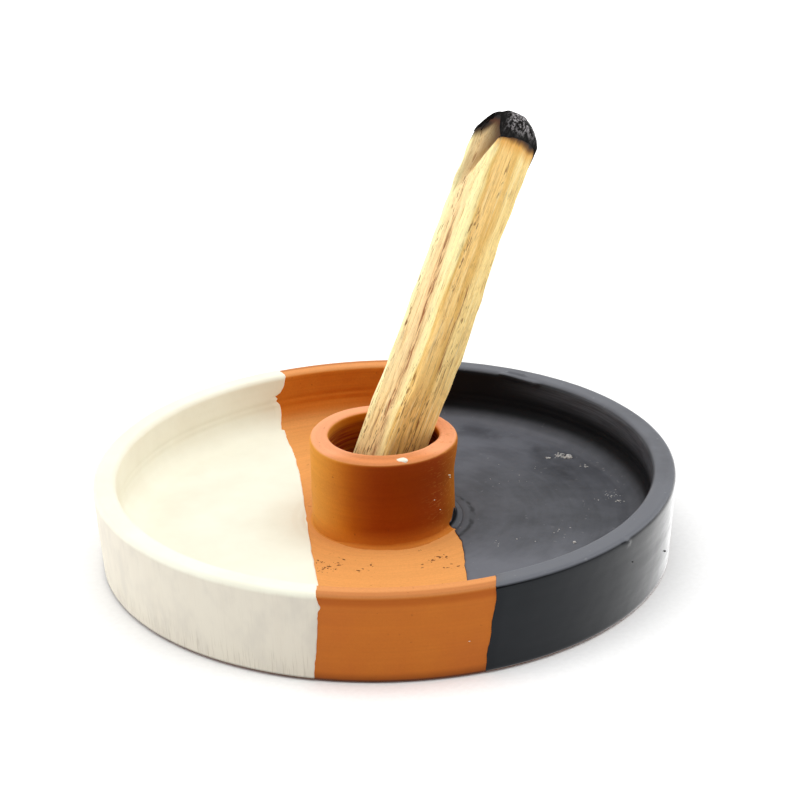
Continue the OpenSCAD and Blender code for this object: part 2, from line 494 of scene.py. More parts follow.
def black_material():
    """A satin black coat with sweeping brush marks and a little dust."""
    shader = Shader("black_coat")
    across, depth, height = shader.x, shader.y, shader.z
    gap = shader.axis_gap()
    sweep = shader.turning(4.0, 1.6)
    fine = shader.turning(7.0, 0.35)
    clouds = shader.noise(60.0, 4.0, 0.65)
    grain = shader.noise(1700.0, 2.0, 0.5)
    level = shader.facing_up(0.3, 0.96)
    within = gap.rise(RIM_R - 2.8, RIM_R - 3.6)
    shader.ramp(clouds, (0.3, srgb(3, 3, 4)), (0.7, srgb(10, 10, 13)))
    # A grey film on level faces, partly dust and partly painted sheen, thicker at the back, in front and
    # on the lip
    back = depth.rise(14.0, 46.0, 0.0, 0.45) * height.rise(LIP_Z - 1.5, LIP_Z - 3.0)
    front = depth.rise(-8.0, -30.0, 0.0, 0.46)
    on_lip = height.rise(LIP_Z - 2.5, LIP_Z - 0.5)
    smears = shader.noise(130.0, 4.0, 0.6).rise(0.3, 0.7, -0.09, 0.09)
    dust_and_sheen = level * (sweep.rise(0.25, 0.75, 0.49, 0.66) + back + front + on_lip * 0.36 + smears)
    # It also lies high on the wall at the right as painted reflection, and is thin on an arc of the floor
    # and round the cup
    wall = within * across.rise(24.0, 50.0) * height.rise(12.2, 16.6, 0.0, 0.44)
    dust_and_sheen = dust_and_sheen.at_least(wall * fine.rise(0.36, 0.62, 0.72, 1.2))
    arc = abs(gap - shader.noise(24.0, 1.0, 0.5).rise(0.3, 0.7, 41.0, 49.0))
    arc = arc.rise(5.0, 0.0, 0.0, 0.45) * depth.rise(6.0, 24.0) * clouds.rise(0.4, 0.6)
    ring = abs(gap - clouds.rise(0.3, 0.7, 17.3, 18.7)).rise(0.8, 0.1)
    ring = ring * sweep.rise(0.4, 0.6, 0.1, 0.7)
    grey = shader.mix(on_lip, srgb(100, 102, 109), srgb(101, 103, 109))
    shader.tint(dust_and_sheen * (1 - arc) * (1 - ring), grey)
    dust = shader.noise(800.0, 1.0, 0.5).rise(0.7, 0.8)
    shader.tint(level * dust * 0.25, srgb(150, 150, 150))
    rough = level.rise(0.0, 1.0, 0.16, 0.34) + sweep.rise(0.3, 0.7, 0.0, 0.1)
    rough = rough + within * level.rise(1.0, 0.5, 0.0, 0.3)
    shader.set(Specular_Tint=(0.84, 0.92, 1.0, 1.0))
    bumps = (sweep * 0.7 + fine * 0.25) * level.rise(0.0, 1.0, 0.15, 0.7) + grain * 0.12
    return shader.complete(rough, 0.115, bumps, 0.2, 0.06)


# How the wood's layers look across the section: [place to the right, colour]
LAYERS = [
    (-7.5, srgb(253, 246, 192)),
    (-6.6, srgb(253, 244, 186)),
    (-6.2, srgb(252, 228, 172)),
    (-4.6, srgb(251, 220, 164)),
    (-3.6, srgb(252, 230, 170)),
    (-2.8, srgb(254, 241, 182)),
    (-1.4, srgb(254, 239, 174)),
    (-0.9, srgb(230, 186, 100)),
    (-0.4, srgb(249, 210, 134)),
    (1.6, srgb(251, 213, 136)),
    (2.9, srgb(232, 188, 104)),
    (3.9, srgb(253, 224, 150)),
    (7.5, srgb(253, 226, 154)),
]
LAYER_REACH = 8.0
# Brown lines that run along the stick: [place to the right, half width, from, to, strength]
VEINS = [
    (-4.9, 0.3, 2.0, 40.0, 0.6),
    (-2.9, 0.3, 0.0, 30.0, 0.6),
    (-1.2, 0.25, 0.0, 26.0, 0.5),
    (0.6, 0.3, 30.0, 78.0, 0.6),
    (1.3, 0.25, 2.0, 34.0, 0.55),
    (2.2, 0.3, 8.0, 60.0, 0.6),
    (3.4, 0.6, 0.0, 58.0, 0.9),
    (4.6, 0.3, 0.0, 40.0, 0.6),
    (5.6, 0.3, 10.0, 50.0, 0.5),
]
# The chip out of the ridge, below which the layers lie further left, and the resin vein on the
# left: its place at the top and lower down, how wide it is, and where it runs
CHIP_TOP = 27.0
CHIP_FOOT = 20.0
CHIP_STEP = 0.25
RESIN_HIGH = -4.4
RESIN_LOW = -3.3
RESIN_HALF = 0.62
RESIN_FROM = 6.0
RESIN_TO = 70.0
# The torn sliver's edge on the first face: its place across that face, and how fast it crosses it
FACE_ALONG = np.array([0.2249, -0.9744])
FACE_MIDDLE = np.array([-5.404, -1.25])
TEAR_FROM = 66.5
TEAR_PLACE = 66.7
TEAR_START = -4.2
TEAR_SLOPE = 0.4514
# The clear wood below the char on that face: how high it reaches, where that is across the face, and
# how fast its edge falls off to the left and to the right
RIM_TOP = 84.8
RIM_PLACE = 1.4
RIM_LEFT = 1.3
RIM_RIGHT = 0.95
# How much lower the scorch starts on the torn face's wood, and how much further down it is at the right
TORN_SCORCH = 2.4
RIGHT_SCORCH = 1.2


def wood_material():
    """Raw split wood: layers across, fibres and veins along, painted light from the socket low down, a
    smoked tear with painted shade at its edge, and scorch at the tip.
    """
    shader = Shader("palo_santo_wood")
    height = shader.z
    across = shader.section_place(SECTION_RIGHT)
    wander = shader.noise((300.0, 300.0, 36.0), 3.0, 0.6).rise(0.2, 0.8, -0.6, 0.6)
    swayed = across + wander + height.rise(CHIP_TOP, CHIP_FOOT, 0.0, CHIP_STEP)
    stops = [(0.5 + 0.5 * at / LAYER_REACH, colour) for at, colour in LAYERS]
    shader.ramp(swayed * (0.5 / LAYER_REACH) + 0.5, *stops)
    # Painted light from the socket on the stick's lower part, strongest on its right
    socket_light = height.rise(36.0, 14.0, 0.0, 0.75) * across.rise(-1.0, 0.5, 0.4, 1.0)
    shader.tint(socket_light, srgb(255, 202, 108))
    # Fibres
    fibres = shader.noise((3000.0, 3000.0, 70.0), 4.0, 0.65)
    hairs = shader.noise((6500.0, 6500.0, 150.0), 2.0, 0.6)
    streaks = shader.noise((1100.0, 1100.0, 45.0), 3.0, 0.6)
    shader.tint(fibres.rise(0.46, 0.33, 0.0, 0.5), srgb(202, 144, 66))
    shader.tint(hairs.rise(0.43, 0.3, 0.0, 0.6), srgb(178, 118, 52))
    shader.tint(fibres.rise(0.54, 0.68, 0.0, 0.4), srgb(255, 244, 200))
    shader.tint(streaks.rise(0.47, 0.34, 0.0, 0.25), srgb(218, 164, 80))
    # Resin, veins and pores
    dashes = shader.noise((3800.0, 3800.0, 230.0), 2.0, 0.6).rise(0.43, 0.57)
    resin = abs(swayed - height.rise(58.0, 34.0, RESIN_HIGH, RESIN_LOW))
    stained = resin.rise(1.3, 0.2, 0.0, 0.4) * height.rise(RESIN_TO, RESIN_TO - 30)
    shader.tint(stained, srgb(222, 158, 106))
    marks = resin.rise(RESIN_HALF, 0.12, 0.0, 0.95) * dashes
    marks = marks * height.rise(RESIN_FROM, RESIN_FROM + 8) * height.rise(RESIN_TO, RESIN_TO - 16)
    for at, half, low, high, strength in VEINS:
        vein = abs(swayed - at).rise(half, 0.0, 0.0, strength) * dashes
        marks = marks.at_least(vein * height.rise(low, low + 8) * height.rise(high, high - 12))
    shader.tint(marks, srgb(146, 84, 38))
    fields = shader.noise((500.0, 500.0, 60.0), 2.0, 0.5) + height.rise(44.0, 14.0, -0.05, 0.03)
    pores = shader.noise((3400.0, 3400.0, 460.0), 1.0, 0.5).rise(0.57, 0.65) * fields.rise(0.47, 0.6)
    shader.tint(pores * 0.8, srgb(126, 72, 24))
    shader.tone(shader.noise((4600.0, 4600.0, 900.0), 2.0, 0.6).rise(0.3, 0.7, 0.9, 1.06))
    # The torn face: smoked, with painted shade darkest near the tear's edge, brown beside the char, then
    # soot and black below it
    face = shader.section_place(FACE_ALONG, FACE_MIDDLE)
    inside = height * TEAR_SLOPE + (TEAR_START - TEAR_SLOPE * TEAR_PLACE) - face
    torn = inside.rise(-0.1, 0.12) * across.rise(2.6, 1.6) * height.rise(TEAR_FROM, TEAR_FROM + 3)
    shader.tint(torn * inside.rise(4.8, 1.2) * height.rise(68.0, 77.0, 0.3, 0.85), srgb(136, 94, 40))
    shader.tint(torn * across.rise(-6.4, -3.6, 0.0, 0.6) * height.rise(75.0, 80.0), srgb(92, 58, 28))
    aside = face + RIM_PLACE
    rim = height + (aside * -RIM_LEFT).at_least(aside * RIM_RIGHT)
    soot = (height - inside * 0.75).rise(76.8, 80.4, 0.0, 0.9)
    soot = soot.at_least(rim.rise(RIM_TOP - 2.8, RIM_TOP - 0.6, 0.0, 0.95))
    shader.tint(torn * soot, srgb(70, 46, 28))
    shader.tint(torn * rim.rise(RIM_TOP - 1.5, RIM_TOP + 0.2), srgb(26, 22, 21))
    # The scorch below the char: toasted, brown and black
    ragged = shader.noise((900.0, 900.0, 160.0), 3.0, 0.6).rise(0.2, 0.8, -0.35, 0.35)
    scorch = height + ragged - torn * TORN_SCORCH + across.rise(2.5, 6.0, 0.0, RIGHT_SCORCH)
    shader.tint(scorch.rise(77.8, 80.8, 0.0, 0.7) * (1 - torn), srgb(222, 156, 62))
    shader.tint(scorch.rise(80.0, 81.4, 0.0, 0.85), srgb(84, 48, 26))
    shader.tint(scorch.rise(81.0, 82.2), srgb(24, 21, 21))
    dents = (marks * 0.5).at_least(pores * 0.6)
    return shader.complete(fibres.rise(0.3, 0.7, 0.74, 0.6), 0.25, fibres - dents, 0.5, 0.14)


def char_material():
    """Charcoal with pale grey on the crests of its right-hand side, partly ash and partly painted
    highlight.
    """
    shader = Shader("char")
    lumps = shader.noise(760.0, 4.0, 0.65)
    flakes = shader.noise((1500.0, 1500.0, 900.0), 4.0, 0.7)
    shader.ramp(lumps, (0.35, srgb(5, 5, 5)), (0.75, srgb(28, 25, 24)))
    # Ash and painted highlight on the crests, most towards the top
    ash = flakes.rise(0.45, 0.6) * lumps.rise(0.36, 0.56)
    ash = ash * shader.section_place(SECTION_RIGHT).rise(-2.5, 0.5)
    shader.tint(ash * shader.z.rise(81.6, 84.6, 0.05, 0.76), srgb(186, 182, 184))
    return shader.complete(lumps.rise(0.3, 0.7, 0.6, 0.9), 0.08, flakes * 0.5 + lumps, 0.8, 0.3)


def crumb_material(name, scale, deep, pale, pale_from, rough):
    """Loose crumbs, darker and smoother in their hollows."""
    shader = Shader(name)
    lumps = shader.noise(scale, 3.0, 0.6)
    shader.ramp(lumps, (0.3, deep), (pale_from, pale))
    return shader.complete(lumps.rise(0.3, 0.7, rough - 0.15, rough), 0.2, lumps, 0.6, 0.1)


DISH_CLAY = clay_material(
    "terracotta", srgb(192, 100, 24), srgb(208, 120, 36), srgb(219, 150, 83), srgb(212, 142, 84))
# The cup's clay is the dish's, given darker and deeper colours as painted shade
SHADED_CUP_CLAY = clay_material(
    "terracotta_cup_shaded", srgb(178, 92, 4), srgb(198, 114, 12), srgb(222, 150, 74), srgb(234, 160, 116))
SLIP = clay_material(
    "terracotta_slip", srgb(166, 80, 14), srgb(184, 98, 24), srgb(194, 114, 44), srgb(219, 150, 83))
CREAM = cream_material()
BLACK = black_material()
WOOD = wood_material()
CHAR = char_material()
ASH = crumb_material("ash", 2600.0, srgb(104, 103, 104), srgb(200, 198, 195), 0.65, 0.95)
CRUMB = crumb_material("crumb", 1800.0, srgb(84, 50, 26), srgb(146, 94, 48), 0.7, 0.9)


# The stick's own frame: +Z along it from its foot

def stick_frame():
    """Where the stick stands, from the axis that it slides on."""
    flat = Vector((STICK_AXIS.x, STICK_AXIS.y, 0)).normalized()
    sideways = Vector((-flat.y, flat.x, 0))
    leaning = sideways.cross(STICK_AXIS)
    foot = (flat * STICK_FOOT_OUT + Vector((0, 0, STICK_FOOT_Z))) * MM
    matrix = Matrix((leaning, sideways, STICK_AXIS)).transposed().to_4x4()
    matrix.translation = foot
    return matrix


STICK_FRAME = stick_frame()


# The dish

def dish_profile():
    """Radius and height from the underside's edge over the lip to the middle of the floor."""
    points = bend((BASE_R - BASE_EDGE_R, BASE_EDGE_R), BASE_EDGE_R, -90, 0, 6)
    points += run((BASE_R, BASE_EDGE_R), (RIM_R, LIP_Z - LIP_EDGE_R), 0.5)
    points += bend((RIM_R - LIP_EDGE_R, LIP_Z - LIP_EDGE_R), LIP_EDGE_R, 0, 90, 8)
    points += run((RIM_R - LIP_EDGE_R, LIP_Z), (INNER_R + LIP_EDGE_R, LIP_Z), 0.4)
    points += bend((INNER_R + LIP_EDGE_R, LIP_Z - LIP_EDGE_R), LIP_EDGE_R, 90, 180, 8)
    points += run((INNER_R, LIP_Z - LIP_EDGE_R), (INNER_R, FLOOR_Z + COVE_R), 0.35)
    points += bend((INNER_R - COVE_R, FLOOR_Z + COVE_R), COVE_R, 0, -90, 18)
    points += run((INNER_R - COVE_R, FLOOR_Z), (1.0, FLOOR_Z), 0.6)
    return np.array(points)


PROFILE = dish_profile()
PROFILE_OUT = outward(PROFILE)
PROFILE_IN = PROFILE[:, 0] < INNER_R + LIP_EDGE_R
# Grooves that a tool left round the inside of the wall: [height, depth, width]
TOOL_GROOVES = [
    (12.3, 0.26, 0.4),
    (10.8, 0.16, 0.35),
]
DISH_COLS = 560


def clay_relief(points, inside, grooved):
    """How far the thrown clay stands out of true: wobble, finger rings and tool grooves."""
    radius = axis_r(points)
    height = points[..., 2]
    ringed = np.stack([points[..., 0] / 60, points[..., 1] / 60, height + radius], axis=-1)
    relief = 0.1 * noise3(points, 34.0, 1) + 0.015 * noise3(points, 9.0, 2)
    rings = 0.045 * noise3(ringed, (1, 1, 2.3), 3) + 0.02 * noise3(ringed, (1, 1, 0.9), 4)
    relief += rings * np.where(inside & (height > FLOOR_Z + 1), 1, 0.4)
    wall = inside * smooth_step(8.5, 9.5, height) * smooth_step(INNER_R - 4, INNER_R - 2, radius)
    sway = 0.3 * noise3(points, 14.0, 5)
    depth = grooved * (0.7 + 0.5 * noise3(points, 8.0, 6))
    cut = sum(deep * hump(height, at + sway, wide) for at, deep, wide in TOOL_GROOVES)
    relief -= wall * depth * cut
    floor = inside * smooth_step(INNER_R - 3, INNER_R - 6, radius)
    relief -= floor * 0.1 * hump(radius, SEAM_R + 2.4 + sway, 0.5)
    return relief * smooth_step(0.0, 1.5, height)


def on_skin(index, theta, lift=0.0, grooved=1.0):
    """Points on the dish's thrown skin, at rows of the profile and angles, lifted off it."""
    radius, height = PROFILE[index, 0], PROFILE[index, 1]
    true = turned(radius[:, None] + 0 * theta, height[:, None], theta)
    stand = clay_relief(true, PROFILE_IN[index][:, None], grooved) + lift
    return turned(radius[:, None] + PROFILE_OUT[index, 0][:, None] * stand,
                  height[:, None] + PROFILE_OUT[index, 1][:, None] * stand, theta)


def make_dish():
    """The thrown dish, closed by its flat underside."""
    rows = len(PROFILE)
    points = on_skin(np.arange(rows), full_turn(rows, DISH_COLS)).reshape(-1, 3)
    points = np.concatenate([points, [[0, 0, 0], [0, 0, FLOOR_Z]]])
    faces = capped(rows, DISH_COLS)
    return add_piece("dish_body", points, faces, DISH_CLAY, "holder", "dish")


# The socket cup and its seam

def make_turned(name, profile, relief, cols, material, replaces, settle=None):
    """A closed ring turned from a profile whose last point joins its first."""
    out = outward(np.concatenate([profile[-1:], profile, profile[:1]]))[1:-1]
    theta = full_turn(len(profile), cols)
    true = turned(profile[:, :1] + 0 * theta, profile[:, 1:], theta)
    stand = relief(true)
    points = turned(profile[:, :1] + out[:, :1] * stand, profile[:, 1:] + out[:, 1:] * stand, theta)
    if settle:
        points = settle(points)
    index = ring_index(len(profile), cols)
    faces = quads(np.vstack([index, index[:1]]))
    return add_piece(name, points, faces, material, "holder", replaces)


# How far the cup's wall leans in on the right, at half its height and at its foot
CUP_LEAN_IN = 0.8
FOOT_LEAN_IN = 0.65
LEAN_FULL_Z = 15.0
# How much thicker the cup's lip is in front, how far it is tilted up and which way, and its inner edge
MOUTH_IN = 0.52
LIP_TILT = 0.7
LIP_TILT_WAY = math.radians(120)
BORE_EDGE_R = 0.6
# How far the cup and the seam reach into the floor, and the seam's foot and top into the cup
CUP_SUNK = 0.3
SEAM_SUNK = 0.25
SEAM_ROOT = 0.6
SEAM_LAP = 0.05
CUP_COLS = 300
SEAM_COLS = 220


def cup_lean(points):
    """How far the cup's wall stands in on the right, at half its height and less at its foot."""
    right = smooth_step(0.2, 0.95, points[..., 0] / axis_r(points))
    up = smooth_step(FLOOR_Z + 1, LEAN_FULL_Z, points[..., 2])
    return right * (FOOT_LEAN_IN + (CUP_LEAN_IN - FOOT_LEAN_IN) * up)


def moved_in(points, depth):
    """Points moved towards the dish's axis."""
    share = 1 - depth / axis_r(points)
    return points * np.stack([share, share, 1 + 0 * share], axis=-1)


def drawn_in(points):
    """Points round the cup's foot, moved in with its wall."""
    return moved_in(points, cup_lean(points))


def smoothed_away(points):
    """The seam's points, drawn in with the cup's wall and lost in that wall on the left."""
    radius = axis_r(points)
    left = smooth_step(0.3, 0.85, -points[..., 0] / radius)
    return moved_in(drawn_in(points), left * np.maximum(0, radius - CUP_R + SEAM_HIDDEN))


def cup_relief(points):
    """Finger rings, a wall that leans in on the right, and a lip that is thicker in front."""
    radius = axis_r(points)
    height = points[..., 2]
    ringed = np.stack([points[..., 0] / 20, points[..., 1] / 20, height], axis=-1)
    bore = smooth_step(BORE_R + 1.5, BORE_R + 0.4, radius)
    relief = 0.08 * noise3(points, 9.0, 11) + 0.03 * noise3(points, 2.6, 12)
    relief += (0.02 + 0.06 * bore) * noise3(ringed, (1, 1, 1.3), 13)
    relief += (0.01 + 0.03 * bore) * noise3(ringed, (1, 1, 0.5), 14)
    leaning = smooth_step(CUP_TOP - 1, CUP_TOP - 8, height) * cup_lean(points)
    front = smooth_step(-0.1, 0.6, -points[..., 1] / radius)
    front = front * smooth_step(CUP_TOP - 7, CUP_TOP - 2, height)
    relief = relief * (1 - 0.8 * bore) + bore * np.minimum(relief, 0) * 0.8
    return relief - (1 - bore) * leaning + bore * front * MOUTH_IN


def make_cup():
    """The socket cup, with its lip tilted up at the back."""
    sunk = FLOOR_Z - CUP_SUNK
    edge, inner = CUP_EDGE_R, BORE_EDGE_R
    points = run((CUP_R, sunk), (CUP_R, CUP_TOP - edge), 0.3)
    points += bend((CUP_R - edge, CUP_TOP - edge), edge, 0, 90, 9)
    points += run((CUP_R - edge, CUP_TOP), (BORE_R + inner, CUP_TOP), 0.25)
    points += bend((BORE_R + inner, CUP_TOP - inner), inner, 90, 180, 7)
    points += run((BORE_R, CUP_TOP - inner), (BORE_R, sunk), 0.3)
    points += run((BORE_R, sunk), (CUP_R, sunk), 1.0)
    cup = make_turned(
        "cup_body", np.array(points), cup_relief, CUP_COLS, SHADED_CUP_CLAY, "socket_cup")
    for vertex in cup.data.vertices:
        x, y, z = vertex.co / MM
        facing = max(0.0, math.cos(math.atan2(y, x) - LIP_TILT_WAY))
        vertex.co.z += LIP_TILT * facing * float(smooth_step(CUP_TOP - 6, CUP_TOP, z)) * MM


def make_seam():
    """The slip run round the cup's foot, smoothed by a finger and lost in the cup's wall on the left."""
    def relief(points):
        return 0.05 * noise3(points, 3.0, 21) + 0.03 * noise3(points, 1.1, 22)
    inner = CUP_R - SEAM_ROOT
    sunk = FLOOR_Z - SEAM_SUNK
    points = [np.array([SEAM_R, sunk])]
    for turn in np.linspace(0, math.pi / 2, 12):
        radius = SEAM_R - (SEAM_W + SEAM_LAP) * math.sin(turn)
        points.append(np.array([radius, FLOOR_Z + SEAM_H * (1 - math.cos(turn))]))
    points += run((inner, FLOOR_Z + SEAM_H), (inner, sunk), 0.5)
    points += run((inner, sunk), (SEAM_R, sunk), 0.5)[:-1]
    return make_turned(
        "seam_fillet", np.array(points), relief, SEAM_COLS, SLIP, "luting_seam",
        smoothed_away)


# The coats: where a freehand edge runs, as [place, X] pairs on each stretch of the dish

CREAM_EDGE = {
    "front_outside": [(0.7, -14.0), (9.1, -13.1), (14.6, -12.9), (15.9, -12.2), (16.5, -12.5),
                      (18.5, -12.9)],
    "floor": [(-55, -13.0), (-30.8, -13.5), (-21, -14.6), (-8.7, -15.9), (8.8, -17.4), (22.9, -18.7),
              (34.1, -20.3), (44.4, -22.4), (51.2, -23.8)],
    "back_inside": [(9.1, -23.6), (11.7, -23.9), (12.6, -24.7), (13.2, -24.3), (13.8, -24.9),
                    (14.6, -23.5), (15.7, -22.8), (18.5, -22.2)],
    "front_lip": [(INNER_R, -13.0), (RIM_R, -12.9)],
    "back_lip": [(INNER_R, -22.2), (RIM_R, -24.2)],
    "back_outside": [(1.3, -25.4), (8.0, -24.4), (18.5, -24.2)],
    "front_inside": [(6.1, -13.0), (18.5, -13.0)],
}
BLACK_EDGE = {
    "front_outside": [(1.1, 17.7), (5.3, 18.2), (8.6, 18.8), (10.5, 18.9), (11.9, 19.2), (16, 19.8),
                      (18.5, 19.8)],
    "floor": [(-55, 15.7), (-29.6, 15.5), (-18.5, 15.5), (-13.3, 15.3), (-6.7, 13.9), (8, 13.4),
              (17, 13.0), (30, 12.2), (51, 11.2)],
    "back_inside": [(6.1, 11.2), (18.5, 11.0)],
    "front_lip": [(INNER_R, 19.9), (RIM_R, 19.7)],
    "back_lip": [(INNER_R, 11.0), (RIM_R, 10.6)],
    "back_outside": [(1.3, 10.0), (9.0, 10.8), (18.5, 10.6)],
    "front_inside": [(6.1, 15.6), (9.0, 15.8), (14.0, 18.6), (18.5, 19.9)],
}


def along(pairs, value):
    """The X that a freehand edge has at a place."""
    places, across = zip(*pairs)
    return float(np.interp(value, places, across))


def edge_angle(edge, radius, height, back):
    """The angle at which a coat's edge crosses a ring of the dish, in front or at the back."""
    side = 1 if back else -1
    if radius < INNER_R - 0.6 * COVE_R and height < FLOOR_Z + 2:
        across = edge["floor"][len(edge["floor"]) // 2][1]
        for _ in range(30):
            across = along(edge["floor"], side * math.sqrt(max(0, radius ** 2 - across ** 2)))
    else:
        on_lip = height > LIP_Z - 0.5 * LIP_EDGE_R
        stretch = "lip" if on_lip else "outside" if radius > RIM_R - LIP_W / 2 else "inside"
        pairs = edge[("back_" if back else "front_") + stretch]
        across = along(pairs, radius if on_lip else height)
    return side * math.acos(max(-1, min(1, across / radius)))


# How a coat is rolled over at its edge: [distance from the edge, height], and how wide a coat has to
# be for the whole roll
PAINT_ROLL = [(0.0, -0.06), (0.1, 0.1), (0.28, COAT_T)]
ROLL_FROM_W = 1.5
COAT_COLS = 230


def make_coat(name, edge, left, inner_r, lumps, material, slot, seed):
    """A brushed skin over one side of the dish, thin and rolled at its ragged edge."""
    cols = COAT_COLS
    rows = [i for i, (r, z) in enumerate(PROFILE) if r >= inner_r and (z >= COAT_BARE_H or r < INNER_R)]
    spans = []
    for i in rows:
        radius, height = PROFILE[i]
        back, front = [edge_angle(edge, radius, height, at_back) for at_back in (True, False)]
        spans.append((back, front + 2 * math.pi) if left else (front, back))
    spans = np.array(spans)
    radius, height = PROFILE[rows, 0], PROFILE[rows, 1]
    for k, end in enumerate((1, -1)):
        at = turned(radius, height, spans[:, k])
        ragged = 0.16 * noise3(at, 2.2, seed + k) + 0.12 * noise3(at, 0.8, seed + 2 + k)
        spans[:, k] += end * ragged / radius
    length = np.maximum(0.02, (spans[:, 1] - spans[:, 0]) * radius)
    roll = np.minimum(1, length / ROLL_FROM_W)[:, None]
    share = np.linspace(0, 1, cols)[None, :]
    for n, (inset, _) in enumerate(PAINT_ROLL):
        inset = roll * inset / length[:, None]
        share = np.where(np.arange(cols) == n, inset, share)
        share = np.where(np.arange(cols) == cols - 1 - n, 1 - inset, share)
    share = np.sort(share, axis=1)
    theta = spans[:, :1] + (spans[:, 1:] - spans[:, :1]) * share
    lift = rolled(theta.shape, COAT_T, [rise for _, rise in PAINT_ROLL])
    flat = turned(radius[:, None] + 0 * theta, height[:, None], theta)
    thick = 0.015 * noise3(flat, 3.0, seed + 5) + 0.01 * noise3(flat, 1.2, seed + 6) + lumps(flat)
    lift = lift + thick * (lift > 0.75 * COAT_T)
    outer = on_skin(np.array(rows), theta, lift, COAT_FILLED)
    points, faces = shell(outer, on_skin(np.array(rows), theta, COAT_ROOT))
    return add_piece(name, points, faces, material, "holder", slot)


def no_lumps(points):
    """A coat that was brushed out evenly."""
    return 0 * points[..., 0]


# Thick runs of black paint: [start, end, width, height] as points on the dish
PAINT_RUNS = [
    ((27.4, 48.4, 18.5), (30.6, 46.5, 18.1), 0.42, 0.8),
    ((30.6, 46.5, 18.1), (35.4, 42.9, 17.9), 0.42, 0.65),
    ((29.4, 48.6, 18.5), (32.6, 46.4, 18.5), 0.36, 0.45),
    ((45.0, -39.2, 18.0), (45.9, -38.4, 17.4), 0.4, 0.45),
]


def paint_lumps(points):
    """Sags and lumps that the brush left in the black coat."""
    total = 0 * points[..., 0]
    for start, end, width, height in PAINT_RUNS:
        start, end = np.array(start), np.array(end)
        span = end - start
        t = np.clip(((points - start) @ span) / (span @ span), 0, 1)
        gap = np.linalg.norm(points - start - t[..., None] * span, axis=-1)
        total = np.maximum(total, height * hump(gap, 0, width))
    return total


# The black paint that climbs the seam and, in one dab, the foot of the cup: angles in degrees
CLIMB_FROM = -27
CLIMB_TO = 38
DAB_AT = -13
DAB_HALF = 6.0
DAB_H = 1.8
CLIMB_H = 0.15
CLIMB_LAND = 0.6
CLIMB_T = 0.18
CLIMB_ROLL = (-0.1, 0.08)
CLIMB_ROOT = 0.4


def make_foot_paint():
    """A thin skin of black paint over the seam, sunk in at its edges."""
    cols, rows = 70, 22
    theta = np.linspace(math.radians(CLIMB_FROM), math.radians(CLIMB_TO), cols)[None, :]
    edge = 0.25 * noise3(turned(CUP_R + 0 * theta, 0.0, theta), 1.1, 91)
    climb = CLIMB_H + edge + DAB_H * hump(theta, math.radians(DAB_AT), math.radians(DAB_HALF))
    arc = SEAM_H * math.pi / 2
    travel = np.linspace(0, 1, rows)[:, None] * (CLIMB_LAND + arc + climb) - CLIMB_LAND
    turn = np.clip(travel / arc, 0, 1) * math.pi / 2
    radius = SEAM_R - np.minimum(travel, 0) - SEAM_W * np.sin(turn)
    height = FLOOR_Z + SEAM_H * (1 - np.cos(turn)) + np.maximum(travel - arc, 0)
    lift = rolled(travel.shape, CLIMB_T, CLIMB_ROLL)
    spread = theta + 0 * travel
    outer = turned(radius + np.sin(turn) * lift, height + np.cos(turn) * lift, spread)
    inner = turned(radius - np.sin(turn) * CLIMB_ROOT, height - np.cos(turn) * CLIMB_ROOT, spread)
    points, faces = shell(drawn_in(outer), drawn_in(inner))
    return add_piece("foot_paint", points, faces, BLACK, "holder")


# How far the stick's ridge, right and left stray to the right of the true corners, where along it they
# do so, how deep the ridge's chip is, and how ragged the corners are
RIDGE_STRAY = 0.75
RIGHT_STRAY = 0.7
LEFT_STRAY = -0.5
RIDGE_STRAY_FADE = (52, 38)
RIGHT_STRAY_FADE = (56, 74)
LEFT_STRAY_HUMP = (38, 16)
CHIP_DEPTH = 0.5
EDGE_RAGGED = 0.16


def corner_points(height):
    """The section's corners at a height along the stick."""
    drawn = max(0.0, height - STRAIGHT_L) * STICK_TAPER / (STICK_L - STRAIGHT_L)
    corners = []
    for i, (first, share, _) in enumerate(SPLIT_FACES):
        second, next_share, _ = SPLIT_FACES[(i + 1) % len(SPLIT_FACES)]
        a, b = math.radians(first), math.radians(second)
        p = STICK_W / 2 * share - drawn
        q = STICK_W / 2 * next_share - drawn
        corner = np.array([p * math.sin(b) - q * math.sin(a), q * math.cos(a) - p * math.cos(b)])
        corners.append(corner / math.sin(b - a))
    free = smooth_step(STRAIGHT_L, STRAIGHT_L + 5, height)
    for i, corner in enumerate(corners):
        corner += free * EDGE_RAGGED * noise3([9.0 * i, 0.0, height], 3.2, 35) * SECTION_RIGHT
    strayed = RIDGE_STRAY - CHIP_DEPTH * smooth_step(CHIP_TOP, CHIP_FOOT, height)
    corners[0] += strayed * smooth_step(*RIDGE_STRAY_FADE, height) * SECTION_RIGHT
    corners[1] += RIGHT_STRAY * smooth_step(*RIGHT_STRAY_FADE, height) * SECTION_RIGHT
    for corner in corners[5:]:
        corner += LEFT_STRAY * hump(height, *LEFT_STRAY_HUMP) * SECTION_RIGHT
    return corners


# The torn sliver: its depth at the tip, its least width, where its face starts on the left, how many
# columns it takes, and half the width of the step at its edge as a share of the face
TEAR_DEPTH = 1.9
TEAR_LEAST = 0.8
FACE_LEFT = -3.98
TEAR_COLUMN = 14
TEAR_STEP = 0.012
# How far the stick bows to and fro, and over what length
BOW = 0.5
BOW_LENGTH = 64.0
# The burnt dome: how wide it is, where it starts and ends, how full it is, how much fuller on the left,
# and where its middle lies
DOME_R = 7.1
DOME_FROM = 76.5
DOME_TOP = 86.45
DOME_POWER = 1.94
DOME_FULLER = 0.55
DOME_MIDDLE = 0.3 * SECTION_RIGHT


